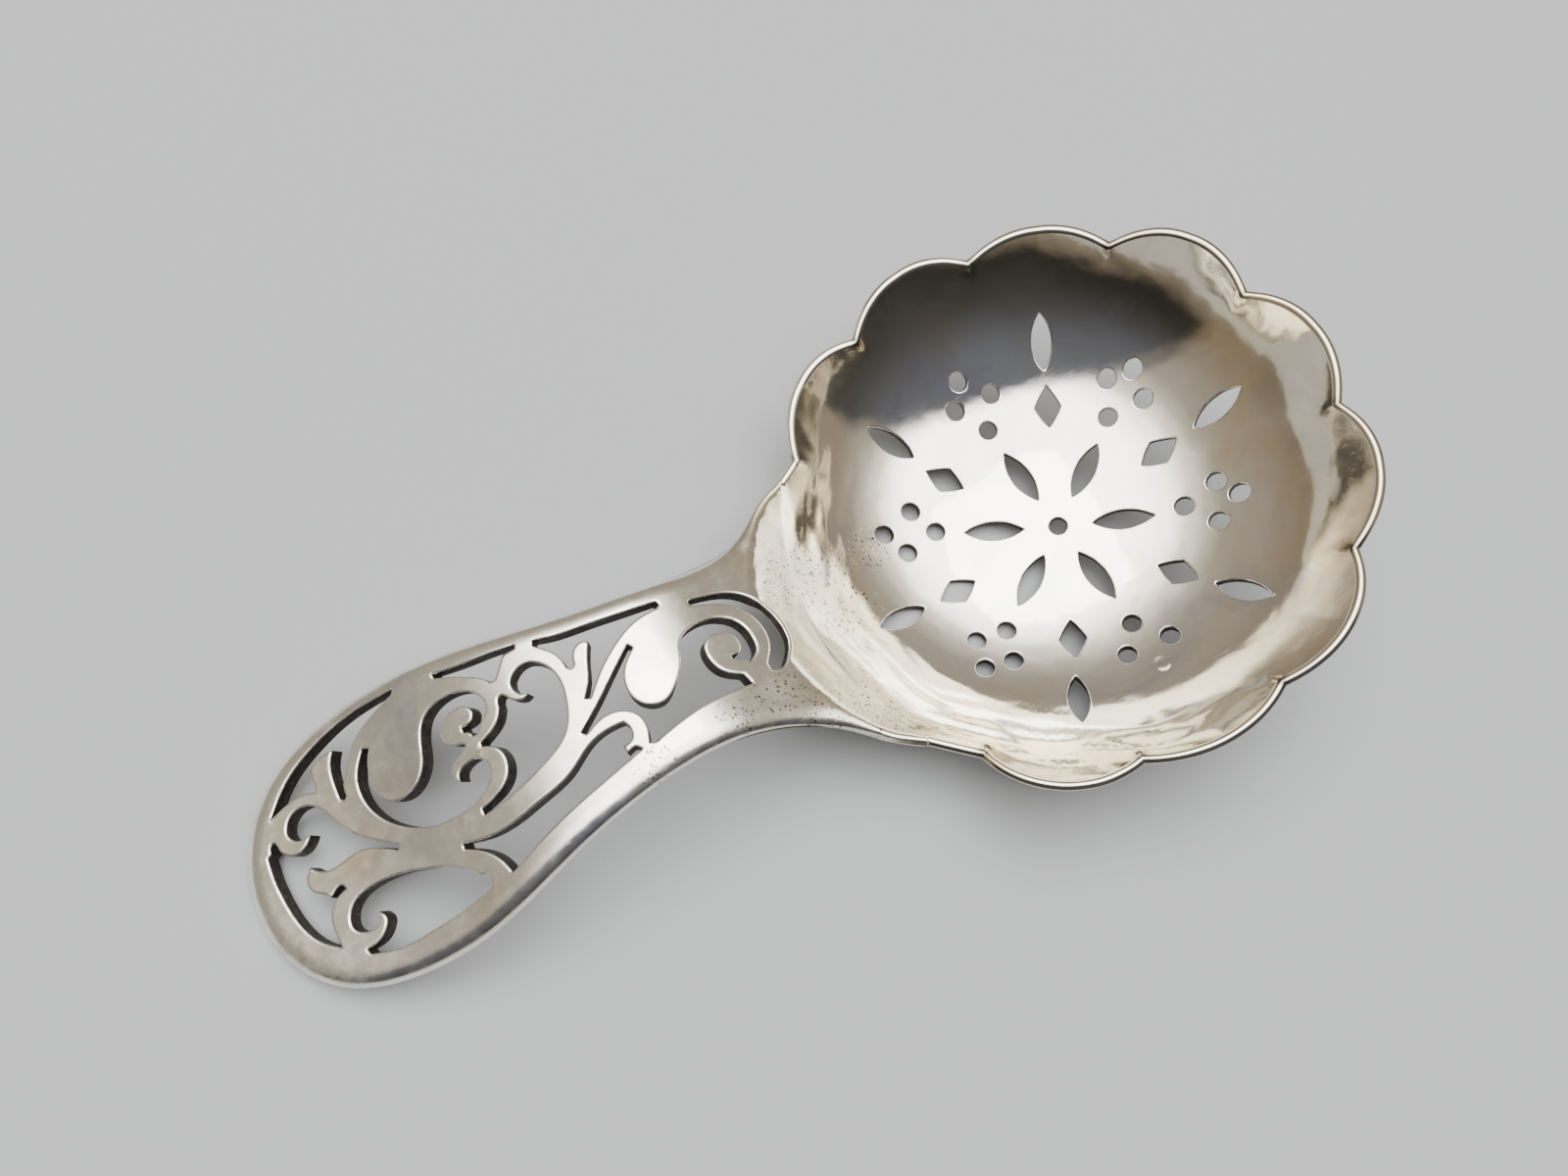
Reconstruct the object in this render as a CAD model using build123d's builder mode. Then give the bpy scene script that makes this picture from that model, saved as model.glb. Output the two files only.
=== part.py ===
"""Pierced sifter spoon: a scalloped dish with a pierced floor and an openwork handle.

The shape is drawn in the dish's own frame (millimetres): the dish axis is Z, the inside of the
dish's floor is at the origin, and the handle runs along -X. At the end everything is tipped
into its resting pose, with the underside of the dish and the handle's tip on the plane Z = 0.
"""
import os
from math import cos, exp, hypot, log, radians, sin, sqrt

from build123d import *

os.makedirs("parts", exist_ok=True)

# ---- dish ---------------------------------------------------------------------------------
NOTCH_R = 30.0            # radius of the dish at the notches between the lobes
LOBE_CROWNS = (32.2, 31.2, 31.65, 31.7, 31.6, 31.85, 31.3, 31.75, 31.8)  # filed by hand
LOBES = len(LOBE_CROWNS)
LOBE_PITCH = 30.87        # degrees from notch to notch; the handle takes the rest
LOBES_TURN = 2.0          # the hand-cut scallops sit a little off the handle's axis
DISH_SQUARE = 0.0059      # inner profile: height = DISH_SQUARE r^2 + DISH_FOURTH r^4
DISH_FOURTH = 9.37e-6
SHEET = 1.0               # thickness of the dish
JOINT_R = 31.0            # the handle's root meets the dish on this circle
JOINT_Y = 16.9            # half-width of the joint
NOTCH_CUT = 0.35          # radius of the small nick at the bottom of each notch

# ---- pierced floor ------------------------------------------------------------------------
PETALS = 6                # slots of each kind in the rosette
ROSETTE_TURN = 4.0        # the rosette is turned by this much from the handle's axis
ROUND_HOLE_R = 1.08
INNER_SLOT = (4.0, 11.05, 2.35)      # start radius, end radius, width
OUTER_SLOT = (18.85, 24.6, 2.35)
# sawn diamonds: radius and angle of each one's middle
DIAMONDS = [
    (14.35, 5.2), (14.65, 63.4), (14.5, 126.6), (14.4, 184.8), (14.2, 245.0), (14.7, 303.9),
]
DIAMOND_LONG = 4.8
DIAMOND_WIDE = 3.1
DIAMOND_BOW = 0.09        # how far each side bows out, as a share of its distance from the middle
# round holes drilled by eye, in six clusters: one towards the middle, two abreast, one outside
DRILLED = [
    (-1.0, 14.4), (-3.3, 18.15), (1.45, 17.9), (-1.3, 20.8),
    (11.8, 8.2), (13.9, 12.0), (16.1, 7.6), (16.8, 11.1),
    (13.1, -5.85), (15.0, -9.6), (17.3, -5.5), (18.4, -8.2),
    (0.55, -14.7), (-2.0, -17.7), (3.1, -18.2),
    (-11.95, -8.2), (-15.6, -7.7), (-13.2, -11.9), (-16.5, -11.2),
    (-12.9, 6.55), (-14.3, 10.0), (-17.15, 5.6), (-18.5, 8.7),
]
BLIND_HOLE = (0.45, -20.6)           # the one hole that was only started
BLIND_DEPTH = 0.35

# ---- handle -------------------------------------------------------------------------------
PLATE = 2.0               # height of the plate, measured along Z
ARCH_BASE = 27.6          # height of the handle above the inside of the dish's floor
ARCH_RISE = 3.2           # extra height at the crown of the arch
ARCH_X = -59.0            # where the crown is
ARCH_SPREAD = 15.0
ARCH_DIP = 1.3            # the arch starts this much lower where it leaves the root
DIP_X = -43.5             # where the dip has half gone
DIP_SPREAD = 1.8
CREST_X = -34.0           # the dish's wall ends in a crest here ...
CREST_Z = 20.1            # ... at this height
COLLAR_SLOPE = 0.63       # slope of the collar outside the crest, beside the dish
ROOT_SLOPE = 0.90         # and of the root, where it climbs to the arch
ROOT_BEND = 0.5           # over this length the collar's slope turns into the root's
CREST_BLEND = 0.4         # how soft the crest is, and the bend from root to arch
ARCH_BLEND = 0.8
GRID_X = range(-96, -23)  # the handle's surface is worked out at these places, 1 mm apart
GRID_Y = range(-18, 19)
SURFACE_TOL = 0.03        # and passes this close to them
TIP_X = -94.0
# half of the handle's outline, from the joint to the tip; the other half is its mirror image
HALF_OUTLINE = [
    (-26.0, JOINT_Y), (-29.6, 14.6), (-32.6, 12.1), (-36.0, 10.25), (-41.5, 9.3), (-50.0, 9.8),
    (-60.0, 11.8), (-72.0, 14.35), (-80.0, 14.2), (-88.0, 11.5), (-92.6, 6.2), (TIP_X, 0.0),
]

# Openings sawn in the handle. Each is a closed outline of stretches that meet at corners:
# two points are a straight stretch, more are a smooth curve.
OPENINGS = {
    "root_crescent": [
        [(-40.35, 6.0), (-38.0, 5.95), (-36.0, 5.4), (-34.5, 3.9), (-33.65, 1.6), (-33.65, -0.8),
         (-34.5, -3.0), (-35.6, -4.0), (-36.4, -3.9)],
        [(-36.4, -3.9), (-36.4, -3.0)],
        [(-36.4, -3.0), (-35.4, -1.2), (-35.15, 0.6), (-35.7, 2.7), (-37.2, 4.4), (-40.35, 5.4)],
        [(-40.35, 5.4), (-40.35, 6.0)],
    ],
    "root_scroll": [
        [(-47.0, 3.4), (-47.3, 3.9)],
        [(-47.3, 3.9), (-49.4, 2.2), (-52.0, 0.05), (-54.9, -2.05)],
        [(-54.9, -2.05), (-54.5, -2.45)],
        [(-54.5, -2.45), (-52.6, -1.7), (-50.6, -1.9), (-49.3, -3.05), (-49.05, -4.5),
         (-49.5, -6.1)],
        [(-49.5, -6.1), (-48.95, -6.3)],
        [(-48.95, -6.3), (-46.45, -5.65), (-43.0, -4.95), (-38.6, -4.6)],
        [(-38.6, -4.6), (-38.9, -3.4)],
        [(-38.9, -3.4), (-40.3, -2.5), (-41.1, -0.6), (-40.7, 1.15), (-39.5, 1.7), (-38.2, 1.1),
         (-37.85, 0.0), (-38.3, -1.0), (-39.1, -1.05)],
        [(-39.1, -1.05), (-39.1, -1.6)],
        [(-39.1, -1.6), (-38.4, -1.8), (-37.85, -2.3)],
        [(-37.85, -2.3), (-36.9, -1.4), (-36.6, 0.2), (-37.2, 2.3), (-38.7, 3.3), (-40.9, 3.2),
         (-42.6, 2.2), (-43.4, 0.2), (-44.6, -1.6), (-46.7, -3.0), (-48.6, -2.1), (-49.2, 0.0),
         (-48.6, 1.8), (-47.0, 3.4)],
    ],
    "upper_sliver": [
        [(-55.4, 8.8), (-54.0, 8.35), (-50.0, 7.7), (-46.0, 7.2), (-43.1, 7.0)],
        [(-43.1, 7.0), (-42.95, 6.6), (-43.3, 6.3)],
        [(-43.3, 6.3), (-45.4, 5.95), (-48.3, 4.55), (-50.6, 2.8), (-52.65, 0.65)],
        [(-52.65, 0.65), (-53.2, 0.85)],
        [(-53.2, 0.85), (-52.1, 2.4), (-51.4, 4.2), (-50.55, 6.0)],
        [(-50.55, 6.0), (-51.0, 6.3), (-52.2, 5.9), (-52.75, 4.5)],
        [(-52.75, 4.5), (-53.15, 4.3), (-53.5, 4.6)],
        [(-53.5, 4.6), (-53.8, 6.1), (-54.6, 7.3), (-55.6, 8.3)],
        [(-55.6, 8.3), (-55.4, 8.8)],
    ],
    "lower_long": [
        [(-70.45, -5.5), (-67.8, -6.3), (-65.0, -6.45), (-61.5, -6.0), (-57.5, -5.05),
         (-54.5, -3.4), (-52.6, -3.0), (-50.85, -3.05)],
        [(-50.85, -3.05), (-50.55, -4.0), (-50.9, -5.0), (-51.85, -5.25)],
        [(-51.85, -5.25), (-51.8, -6.0)],
        [(-51.8, -6.0), (-50.7, -5.85), (-50.4, -6.3)],
        [(-50.4, -6.3), (-55.0, -7.4), (-60.0, -8.55), (-66.75, -10.55)],
        [(-66.75, -10.55), (-67.3, -9.0), (-68.6, -7.3), (-70.5, -6.0)],
        [(-70.5, -6.0), (-70.45, -5.5)],
    ],
    "middle_hook": [
        [(-64.5, 2.2), (-63.0, 2.7), (-61.9, 3.4), (-61.2, 4.4)],
        [(-61.2, 4.4), (-61.1, 5.0), (-60.7, 5.4), (-60.3, 5.2), (-59.9, 4.6), (-59.3, 4.1),
         (-58.7, 3.9), (-58.0, 4.1)],
        [(-58.0, 4.1), (-58.9, 4.7), (-59.2, 5.9), (-58.3, 6.85), (-57.0, 7.05), (-55.6, 6.2),
         (-54.7, 4.2), (-54.9, 1.8), (-56.3, -1.2), (-59.5, -2.9), (-63.0, -3.8), (-67.1, -4.25)],
        [(-67.1, -4.25), (-67.1, -3.6)],
        [(-67.1, -3.6), (-65.0, -3.2), (-63.3, -2.1), (-62.7, -0.3), (-63.3, 1.15),
         (-64.5, 1.85)],
        [(-64.5, 1.85), (-64.5, 2.2)],
    ],
    "forked_sliver": [
        [(-66.4, 11.3), (-63.0, 10.45), (-59.6, 9.85), (-57.2, 9.3)],
        [(-57.2, 9.3), (-57.4, 9.0)],
        [(-57.4, 9.0), (-58.7, 9.0)],
        [(-58.7, 9.0), (-59.6, 8.05), (-60.4, 7.15)],
        [(-60.4, 7.15), (-61.0, 7.15)],
        [(-61.0, 7.15), (-61.6, 7.9), (-63.2, 9.1), (-65.0, 10.2), (-66.3, 10.8)],
        [(-66.3, 10.8), (-66.4, 11.3)],
    ],
    "leaf_surround": [
        [(-76.7, 8.8), (-78.4, 6.5), (-78.6, 4.0), (-77.0, 0.7), (-74.4, -1.45), (-71.3, -2.6),
         (-68.4, -2.7), (-65.8, -1.9), (-64.6, -0.2), (-65.3, 0.95), (-66.7, 1.25),
         (-67.95, 0.65), (-68.1, 0.0)],
        [(-68.1, 0.0), (-68.6, 0.8), (-68.3, 1.75), (-67.4, 2.3), (-66.3, 2.7)],
        [(-66.3, 2.7), (-66.05, 2.95), (-66.4, 3.25)],
        [(-66.4, 3.25), (-67.4, 3.6), (-68.15, 4.9), (-67.6, 6.1), (-66.3, 6.75), (-64.8, 6.6),
         (-64.0, 5.5), (-64.5, 4.75), (-65.7, 4.65)],
        [(-65.7, 4.65), (-65.7, 4.1)],
        [(-65.7, 4.1), (-65.1, 3.8), (-64.9, 3.3)],
        [(-64.9, 3.3), (-64.3, 3.3)],
        [(-64.3, 3.3), (-63.8, 3.95), (-62.8, 4.6), (-62.45, 5.75), (-63.2, 7.25), (-65.0, 8.25),
         (-67.0, 8.5), (-69.0, 7.9), (-70.3, 6.1), (-71.0, 4.1), (-72.3, 2.55), (-74.2, 1.85),
         (-76.2, 2.5), (-77.2, 4.6), (-76.9, 7.0), (-76.1, 8.5)],
        [(-76.1, 8.5), (-76.7, 8.8)],
    ],
    "tip_sliver": [
        [(-88.8, 7.4), (-86.0, 10.0), (-82.0, 11.85), (-78.0, 12.75), (-73.0, 12.7),
         (-71.1, 12.5)],
        [(-71.1, 12.5), (-71.5, 12.1)],
        [(-71.5, 12.1), (-73.7, 11.6), (-76.0, 10.8), (-78.0, 9.5), (-79.4, 7.7), (-80.2, 6.4),
         (-80.25, 5.5)],
        [(-80.25, 5.5), (-80.6, 5.15), (-81.0, 5.5)],
        [(-81.0, 5.5), (-80.95, 8.0), (-80.6, 9.4), (-79.9, 10.5)],
        [(-79.9, 10.5), (-81.6, 10.6), (-82.8, 9.9), (-83.05, 8.7), (-83.2, 7.5)],
        [(-83.2, 7.5), (-84.6, 8.0), (-86.0, 8.05), (-88.8, 7.4)],
    ],
    "tip_hook": [
        [(-90.5, 3.9), (-90.0, 4.1)],
        [(-90.0, 4.1), (-89.8, 4.8), (-89.4, 5.05), (-89.1, 4.5), (-89.0, 3.8)],
        [(-89.0, 3.8), (-88.2, 2.95), (-87.0, 2.7), (-86.0, 3.15), (-85.4, 3.8)],
        [(-85.4, 3.8), (-86.85, 3.95), (-87.65, 5.0), (-87.1, 6.3), (-85.4, 6.9), (-83.6, 5.9),
         (-82.2, 3.4), (-80.6, 1.1), (-78.5, -0.75), (-76.85, -2.0)],
        [(-76.85, -2.0), (-77.2, -2.35)],
        [(-77.2, -2.35), (-79.2, -1.05), (-81.3, -0.3), (-84.8, -0.45), (-86.0, 0.1),
         (-86.6, 0.8)],
        [(-86.6, 0.8), (-87.45, -0.2), (-87.3, -1.5), (-86.0, -2.6), (-85.6, -3.1)],
        [(-85.6, -3.1), (-84.8, -2.6), (-84.1, -2.5), (-83.85, -3.0)],
        [(-83.85, -3.0), (-85.3, -3.5), (-86.3, -4.7), (-86.5, -6.2), (-86.4, -8.0)],
        [(-86.4, -8.0), (-88.0, -6.7), (-89.5, -4.3), (-90.35, -1.0), (-90.6, 1.8), (-90.5, 3.9)],
    ],
    "tip_scroll": [
        [(-69.3, -10.7), (-72.0, -11.05), (-77.0, -11.2), (-81.0, -10.95), (-83.8, -10.05)],
        [(-83.8, -10.05), (-84.0, -9.5)],
        [(-84.0, -9.5), (-82.6, -9.4), (-81.4, -8.6), (-80.95, -7.6), (-81.4, -6.8)],
        [(-81.4, -6.8), (-82.0, -7.85), (-83.3, -7.95), (-84.6, -6.8), (-83.9, -5.0),
         (-81.65, -4.2), (-78.0, -4.6), (-75.0, -5.65), (-72.0, -7.2), (-69.9, -9.1)],
        [(-69.9, -9.1), (-69.2, -9.5), (-69.1, -10.2), (-69.3, -10.7)],
    ],
}

# ---- solder seam --------------------------------------------------------------------------
SEAM_R = 0.85             # radius of the fillet of solder under the joint
SEAM_INSET = 0.3          # its middle lies this far inside the joint's circle
SEAM_HALF_ANGLE = 30.0

# ---- resting pose -------------------------------------------------------------------------
REST_TILT = 17.5          # the dish leans back towards its handle by this angle
WORN = 0.06               # the dish's underside and the handle's tip are worn flat by this much
TALL = 60.0               # long enough to cut through everything
WIDE = 400.0              # wider than the whole spoon


def dish_height(r):
    """Height of the inside of the dish at radius r."""
    return DISH_SQUARE * r**2 + DISH_FOURTH * r**4


def dish_slope(r):
    return 2 * DISH_SQUARE * r + 4 * DISH_FOURTH * r**3


def dish_underside(r):
    """The point of the outer face that lies SHEET away from the inner face at radius r."""
    slope = dish_slope(r)
    length = sqrt(1 + slope**2)
    return (r + SHEET * slope / length, dish_height(r) - SHEET / length)


def lower_of(a, b, blend):
    """The lower of two heights, with a soft edge between the two surfaces."""
    low = min(a, b)
    return low - blend * log(exp((low - a) / blend) + exp((low - b) / blend))


def handle_height(x, y):
    """Top of the handle: the dish's wall up to the crest, the root behind it, then the arch."""
    wall = dish_height(hypot(x, y))
    behind = CREST_X - x
    climb = (ROOT_SLOPE - COLLAR_SLOPE) * ROOT_BEND * log(1 + exp(behind / ROOT_BEND))
    root = CREST_Z + COLLAR_SLOPE * behind + climb
    arch = ARCH_BASE + ARCH_RISE * exp(-(((x - ARCH_X) / ARCH_SPREAD) ** 2))
    arch -= ARCH_DIP / (1 + exp((DIP_X - x) / DIP_SPREAD))
    return lower_of(wall, lower_of(root, arch, ARCH_BLEND), CREST_BLEND)


def on_circle(radius, angle):
    return (radius * cos(radians(angle)), radius * sin(radians(angle)))


def notch_angle(i):
    return LOBES_TURN + (i - LOBES / 2) * LOBE_PITCH


# ---- dish ---------------------------------------------------------------------------------
RADII = [0.0, 6.0, 12.0, 18.0, 24.0, 30.0, 36.0]

with BuildPart() as bowl:
    with BuildSketch(Plane.XZ):
        with BuildLine():
            ends = [(1, 0), (1, dish_slope(RADII[-1]))]
            inside = Spline(*[(r, dish_height(r)) for r in RADII], tangents=ends)
            outside = Spline(*[dish_underside(r) for r in RADII], tangents=ends)
            Line(inside @ 0, outside @ 0)
            Line(inside @ 1, outside @ 1)
        make_face()
    revolve(axis=Axis.Z)
    with BuildSketch(Plane.XY.offset(-SHEET * 2)):
        with BuildLine():
            for i in range(LOBES):
                ThreePointArc(
                    on_circle(NOTCH_R, notch_angle(i)),
                    on_circle(LOBE_CROWNS[i], notch_angle(i + 0.5)),
                    on_circle(NOTCH_R, notch_angle(i + 1)),
                )
            joint_x = -sqrt(JOINT_R**2 - JOINT_Y**2)
            Line(on_circle(NOTCH_R, notch_angle(LOBES)), (joint_x, JOINT_Y))
            ThreePointArc((joint_x, JOINT_Y), (-JOINT_R, 0), (joint_x, -JOINT_Y))
            Line((joint_x, -JOINT_Y), on_circle(NOTCH_R, notch_angle(0)))
        make_face()
    extrude(amount=TALL, mode=Mode.INTERSECT)
    with BuildSketch(Plane.XY.offset(-SHEET * 2)):
        for i in range(LOBES + 1):
            with Locations(on_circle(NOTCH_R, notch_angle(i))):
                Circle(NOTCH_CUT)
        Circle(ROUND_HOLE_R)
        for k in range(PETALS):
            line = ROSETTE_TURN + 360 * k / PETALS
            between = line + 180 / PETALS
            for angle, (start, end, width) in ((between, INNER_SLOT), (line, OUTER_SLOT)):
                middle = (start + end) / 2
                side = Vector(*on_circle(middle, angle))
                across = Vector(*on_circle(width / 2, angle + 90))
                with BuildLine():
                    ThreePointArc(on_circle(start, angle), side + across, on_circle(end, angle))
                    ThreePointArc(on_circle(end, angle), side - across, on_circle(start, angle))
                make_face()
        for radius, angle in DIAMONDS:
            middle = Vector(*on_circle(radius, angle))
            out = Vector(*on_circle(DIAMOND_LONG / 2, angle))
            across = Vector(*on_circle(DIAMOND_WIDE / 2, angle + 90))
            corners = [middle - out, middle + across, middle + out, middle - across]
            with BuildLine():
                for a, b in zip(corners, corners[1:] + corners[:1]):
                    half_way = (a + b) / 2
                    ThreePointArc(a, half_way + (half_way - middle) * DIAMOND_BOW, b)
            make_face()
        with Locations(*DRILLED):
            Circle(ROUND_HOLE_R)
    extrude(amount=TALL, mode=Mode.SUBTRACT)
    dimple = Plane.XY.offset(dish_height(hypot(*BLIND_HOLE)) - BLIND_DEPTH)
    with BuildSketch(dimple):
        with Locations(BLIND_HOLE):
            Circle(ROUND_HOLE_R)
    extrude(amount=TALL, mode=Mode.SUBTRACT)

# ---- handle -------------------------------------------------------------------------------
grid = [[Vector(x, y, handle_height(x, y)) for y in GRID_Y] for x in GRID_X]
top_face = Face.make_surface_from_array_of_points(grid, tol=SURFACE_TOL)

with BuildPart() as handle:
    extrude(top_face, amount=PLATE, dir=(0, 0, -1))
    with BuildSketch(Plane.XY):
        with BuildLine():
            mirrored = [(x, -y) for x, y in reversed(HALF_OUTLINE[:-1])]
            Spline(*HALF_OUTLINE, *mirrored)
            Line(HALF_OUTLINE[0], mirrored[-1])
        make_face()
        Circle(JOINT_R, mode=Mode.SUBTRACT)
    extrude(amount=TALL, mode=Mode.INTERSECT)
    with BuildSketch(Plane.XY):
        for stretches in OPENINGS.values():
            with BuildLine():
                for stretch in stretches:
                    if len(stretch) == 2:
                        Line(*stretch)
                    else:
                        Spline(*stretch)
            make_face()
    extrude(amount=TALL, mode=Mode.SUBTRACT)

# ---- solder seam --------------------------------------------------------------------------
seam_x, seam_z = dish_underside(JOINT_R - SEAM_INSET)
with BuildPart() as bead:
    with BuildSketch(Plane.XZ):
        with Locations((seam_x, seam_z)):
            Circle(SEAM_R)
    revolve(axis=Axis.Z, revolution_arc=2 * SEAM_HALF_ANGLE)
bead_solid = Rot(0, 0, 180 - SEAM_HALF_ANGLE) * bead.part
seam_shape = bead_solid - bowl.part - handle.part

# ---- resting pose -------------------------------------------------------------------------
tipped = [Rot(0, -REST_TILT, 0) * shape for shape in (bowl.part, handle.part, seam_shape)]
lowest = min(shape.bounding_box(optimal=True).min.Z for shape in tipped) + WORN
below = Pos(0, 0, lowest) * Box(WIDE, WIDE, TALL, align=(Align.CENTER, Align.CENTER, Align.MAX))
stood = [shape - below for shape in tipped]
boxes = [shape.bounding_box(optimal=True) for shape in stood]
middle_x = (min(b.min.X for b in boxes) + max(b.max.X for b in boxes)) / 2
middle_y = (min(b.min.Y for b in boxes) + max(b.max.Y for b in boxes)) / 2
for name, shape in zip(("bowl", "handle", "solder_seam"), stood):
    piece = Pos(-middle_x, -middle_y, -lowest) * shape.solids()[0]
    piece.label = name
    export_step(piece, f"parts/{name}.step")
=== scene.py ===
"""Pierced sifter spoon in polished, lightly tarnished silver.

The dish and the handle are drawn as flat outlines with their openings, triangulated finely,
then laid on the hammered surfaces below and given their thickness and rounded edges. Lengths
are millimetres in the dish's own frame until `to_row` turns them into the row's metres.
"""
from math import atan2, cos, pi, radians, sin, sqrt

import bpy
import numpy as np
from mathutils import Matrix, Vector
from mathutils.geometry import delaunay_2d_cdt


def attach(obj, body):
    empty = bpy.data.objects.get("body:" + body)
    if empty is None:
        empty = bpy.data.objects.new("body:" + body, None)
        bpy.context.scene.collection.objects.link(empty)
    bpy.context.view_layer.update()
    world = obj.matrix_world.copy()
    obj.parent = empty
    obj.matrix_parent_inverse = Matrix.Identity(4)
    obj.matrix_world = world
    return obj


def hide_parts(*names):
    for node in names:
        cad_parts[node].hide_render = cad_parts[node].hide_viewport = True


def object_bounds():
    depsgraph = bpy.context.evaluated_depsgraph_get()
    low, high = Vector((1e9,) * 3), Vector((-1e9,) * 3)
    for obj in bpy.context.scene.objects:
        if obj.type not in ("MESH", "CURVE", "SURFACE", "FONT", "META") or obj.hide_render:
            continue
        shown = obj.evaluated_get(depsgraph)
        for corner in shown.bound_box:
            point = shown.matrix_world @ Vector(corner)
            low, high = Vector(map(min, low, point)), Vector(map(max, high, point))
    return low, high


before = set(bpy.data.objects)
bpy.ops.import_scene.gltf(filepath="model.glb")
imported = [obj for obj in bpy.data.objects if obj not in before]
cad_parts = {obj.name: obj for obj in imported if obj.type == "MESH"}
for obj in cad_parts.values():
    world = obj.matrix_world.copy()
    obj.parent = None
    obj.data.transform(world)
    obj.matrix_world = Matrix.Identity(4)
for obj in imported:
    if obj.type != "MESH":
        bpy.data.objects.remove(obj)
cad_box = [list(corner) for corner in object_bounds()]

# ---- driving sizes, the same as the CAD's --------------------------------------------------
NOTCH_R = 30.0
LOBE_CROWNS = (32.2, 31.2, 31.65, 31.7, 31.6, 31.85, 31.3, 31.75, 31.8)
LOBE_PITCH = 30.87
LOBES_TURN = 2.0
DISH_SQUARE = 0.0059
DISH_FOURTH = 9.37e-6
SHEET = 1.0
JOINT_R = 31.0
JOINT_Y = 16.9
ROSETTE_TURN = 4.0
ROUND_HOLE_R = 1.08
INNER_SLOT = (4.0, 11.05, 2.35)
OUTER_SLOT = (18.85, 24.6, 2.35)
DIAMOND_LONG = 4.8
DIAMOND_WIDE = 3.1
DIAMOND_BOW = 0.09        # how far each side bows out, as a share of its distance from the middle
PLATE = 2.0
ARCH_BASE = 27.6
ARCH_RISE = 3.2
ARCH_X = -59.0
ARCH_SPREAD = 15.0
ARCH_DIP = 1.3            # the arch starts this much lower where it leaves the root
DIP_X = -43.5
DIP_SPREAD = 1.8
CREST_X = -34.0           # the dish's wall ends in a crest here
CREST_Z = 20.1
COLLAR_SLOPE = 0.63       # the collar outside the crest, beside the dish
ROOT_SLOPE = 0.90         # and where it climbs to the arch
ROOT_BEND = 0.5
CREST_BLEND = 0.22
ARCH_BLEND = 0.8
REST_TILT = 17.5
WORN = 0.06
LOBES = len(LOBE_CROWNS)
PETALS = 6                # slots of each kind in the rosette

# round holes, drilled by eye in six groups of four
DRILLED = [
    (-1.0, 14.4), (-3.3, 18.15), (1.45, 17.9), (-1.3, 20.8),
    (11.8, 8.2), (13.9, 12.0), (16.1, 7.6), (16.8, 11.1),
    (13.1, -5.85), (15.0, -9.6), (17.3, -5.5), (18.4, -8.2),
    (0.55, -14.7), (-2.0, -17.7), (3.1, -18.2),
    (-11.95, -8.2), (-15.6, -7.7), (-13.2, -11.9), (-16.5, -11.2),
    (-12.9, 6.55), (-14.3, 10.0), (-17.15, 5.6), (-18.5, 8.7),
]
BLIND = (0.45, -20.6)
BLIND_DEPTH = 0.35
# sawn diamonds: radius and angle of each one's middle
DIAMONDS = [(14.35, 5.2), (14.65, 63.4), (14.5, 126.6), (14.4, 184.8), (14.2, 245.0),
            (14.7, 303.9)]

HALF_OUTLINE = [
    (-26.0, JOINT_Y), (-29.6, 14.6), (-32.6, 12.1), (-36.0, 10.25), (-41.5, 9.3), (-50.0, 9.8),
    (-60.0, 11.8), (-72.0, 14.35), (-80.0, 14.2), (-88.0, 11.5), (-92.6, 6.2), (-94.0, 0.0),
]
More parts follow.
